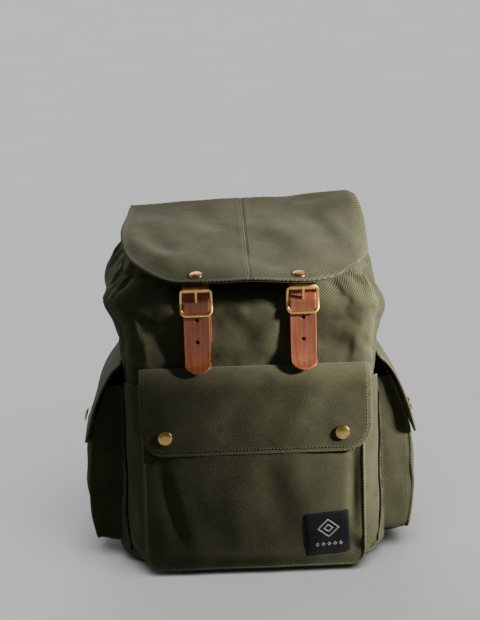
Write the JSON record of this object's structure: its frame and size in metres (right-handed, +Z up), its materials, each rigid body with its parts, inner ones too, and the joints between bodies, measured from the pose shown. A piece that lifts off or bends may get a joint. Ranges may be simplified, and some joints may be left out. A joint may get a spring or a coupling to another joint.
{
  "type": "backpack",
  "caption": "Soft canvas school rucksack with a buckled lid, a flap-covered front pocket, side pockets, shoulder straps and a grab handle.",
  "frame": {"origin": "on the floor plane, at the middle of the underside of the main body", "axes": "+Z up, the front with its pocket faces -Y, +X towards the viewer's right when looking at the front"},
  "size_m": [0.388, 0.2521, 0.3923],
  "materials": {
    "canvas": "matte cotton twill",
    "lining": "matte plain weave",
    "binding": "matte",
    "leather": "oiled, satin",
    "webbing": "matte webbing",
    "polished_brass": "polished",
    "aged_brass": "aged",
    "patch": "matte woven"
  },
  "bodies": {
    "bag": {"back_panel": "canvas", "back_top_band": "canvas", "base_panel": "canvas", "buckle_tab_rivets": "aged_brass", "drawstring_eyelets": "aged_brass", "front_panel": "canvas", "front_pocket_gusset": "canvas", "front_pocket_panel": "canvas", "front_snap_studs": "aged_brass", "handle_anchors": "canvas", "label_patch": "patch", "left_buckle_tab": "leather", "left_lower_strap_tab": "canvas", "left_lower_webbing": "webbing", "left_side_panel": "canvas", "left_side_pocket_gusset": "canvas", "left_side_pocket_panel": "canvas", "lid_piping": "binding", "lining": "lining", "neck_hem": "canvas", "right_buckle_tab": "leather", "right_lower_strap_tab": "canvas", "right_lower_webbing": "webbing", "right_side_panel": "canvas", "right_side_pocket_gusset": "canvas", "right_side_pocket_panel": "canvas", "side_snap_studs": "aged_brass", "strap_yoke": "canvas"},
    "lid": {"lid_left_panel": "canvas", "lid_right_panel": "canvas", "lid_lining": "lining", "lid_rivets": "aged_brass", "left_lid_strap": "leather", "right_lid_strap": "leather"},
    "front_flap": {"front_flap": "canvas", "front_snap_caps": "aged_brass", "front_snap_sockets": "aged_brass"},
    "grab_handle": {"grab_handle": "canvas"},
    "left_strap_tail": {"left_strap_tail": "leather"},
    "left_side_flap": {"left_side_flap": "canvas", "left_side_snap_cap": "aged_brass", "left_side_snap_socket": "aged_brass"},
    "left_buckle": {"left_buckle_frame": "polished_brass"},
    "left_roller": {"left_buckle_roller": "polished_brass"},
    "left_prong": {"left_buckle_prong": "polished_brass"},
    "left_shoulder_strap": {"left_shoulder_pad": "canvas", "left_strap_end_loop": "webbing"},
    "left_adjuster": {"left_adjuster": "polished_brass"},
    "right_strap_tail": {"right_strap_tail": "leather"},
    "right_side_flap": {"right_side_flap": "canvas", "right_side_snap_cap": "aged_brass", "right_side_snap_socket": "aged_brass"},
    "right_buckle": {"right_buckle_frame": "polished_brass"},
    "right_roller": {"right_buckle_roller": "polished_brass"},
    "right_prong": {"right_buckle_prong": "polished_brass"},
    "right_shoulder_strap": {"right_shoulder_pad": "canvas", "right_strap_end_loop": "webbing"},
    "right_adjuster": {"right_adjuster": "polished_brass"}
  },
  "joints": [
    {"name": "lid_hinge", "type": "hinge", "parent": "bag", "child": "lid", "pos_m": [0, 0.0885, 0.388], "axis": [-1, 0, 0], "range_deg": [0, 165], "deforming": ["left_lid_strap", "right_lid_strap", "left_strap_tail", "right_strap_tail"]},
    {"name": "front_flap_hinge", "type": "hinge", "parent": "bag", "child": "front_flap", "pos_m": [0, -0.0888, 0.232], "axis": [-1, 0, 0], "range_deg": [0, 95]},
    {"name": "grab_handle_swing", "type": "hinge", "parent": "bag", "child": "grab_handle", "pos_m": [0, 0.0942, 0.361], "axis": [1, 0, 0], "range_deg": [0, 75]},
    {"name": "left_strap_tail_lift", "type": "hinge", "parent": "lid", "child": "left_strap_tail", "pos_m": [-0.059, -0.0948, 0.2943], "axis": [-1, 0, 0], "range_deg": [0, 70]},
    {"name": "left_side_flap_hinge", "type": "hinge", "parent": "bag", "child": "left_side_flap", "pos_m": [-0.14614, 0, 0.233], "axis": [0, 1, 0], "range_deg": [0, 105]},
    {"name": "left_buckle_tilt", "type": "hinge", "parent": "bag", "child": "left_buckle", "pos_m": [-0.059, -0.0895, 0.309], "axis": [-1, 0, 0], "range_deg": [-6, 6]},
    {"name": "left_roller_spin", "type": "hinge", "parent": "left_buckle", "child": "left_roller", "pos_m": [-0.059, -0.0948, 0.3237], "axis": [1, 0, 0], "continuous": true},
    {"name": "left_prong_lift", "type": "hinge", "parent": "left_buckle", "child": "left_prong", "pos_m": [-0.059, -0.0895, 0.309], "axis": [1, 0, 0], "range_deg": [0, 35]},
    {"name": "left_shoulder_strap_swing", "type": "hinge", "parent": "bag", "child": "left_shoulder_strap", "pos_m": [-0.07, 0.091, 0.349], "axis": [1, 0, 0], "range_deg": [0, 15], "deforming": ["left_lower_webbing"]},
    {"name": "left_adjuster_tilt", "type": "hinge", "parent": "left_shoulder_strap", "child": "left_adjuster", "pos_m": [-0.08595, 0.1145, 0.1667], "axis": [0.9962, 0, -0.0872], "range_deg": [-15, 15]},
    {"name": "right_strap_tail_lift", "type": "hinge", "parent": "lid", "child": "right_strap_tail", "pos_m": [0.059, -0.0948, 0.2943], "axis": [-1, 0, 0], "range_deg": [0, 70]},
    {"name": "right_side_flap_hinge", "type": "hinge", "parent": "bag", "child": "right_side_flap", "pos_m": [0.14614, 0, 0.233], "axis": [0, -1, 0], "range_deg": [0, 105]},
    {"name": "right_buckle_tilt", "type": "hinge", "parent": "bag", "child": "right_buckle", "pos_m": [0.059, -0.0895, 0.309], "axis": [-1, 0, 0], "range_deg": [-6, 6]},
    {"name": "right_roller_spin", "type": "hinge", "parent": "right_buckle", "child": "right_roller", "pos_m": [0.059, -0.0948, 0.3237], "axis": [1, 0, 0], "continuous": true},
    {"name": "right_prong_lift", "type": "hinge", "parent": "right_buckle", "child": "right_prong", "pos_m": [0.059, -0.0895, 0.309], "axis": [1, 0, 0], "range_deg": [0, 35]},
    {"name": "right_shoulder_strap_swing", "type": "hinge", "parent": "bag", "child": "right_shoulder_strap", "pos_m": [0.07, 0.091, 0.349], "axis": [1, 0, 0], "range_deg": [0, 15], "deforming": ["right_lower_webbing"]},
    {"name": "right_adjuster_tilt", "type": "hinge", "parent": "right_shoulder_strap", "child": "right_adjuster", "pos_m": [0.08595, 0.1145, 0.1667], "axis": [0.9962, 0, 0.0872], "range_deg": [-15, 15]}
  ],
  "couplings": [
    {"joint": "left_strap_tail_lift", "follows": "front_flap_hinge", "ratio": 0.7},
    {"joint": "right_strap_tail_lift", "follows": "front_flap_hinge", "ratio": 0.7}
  ]
}
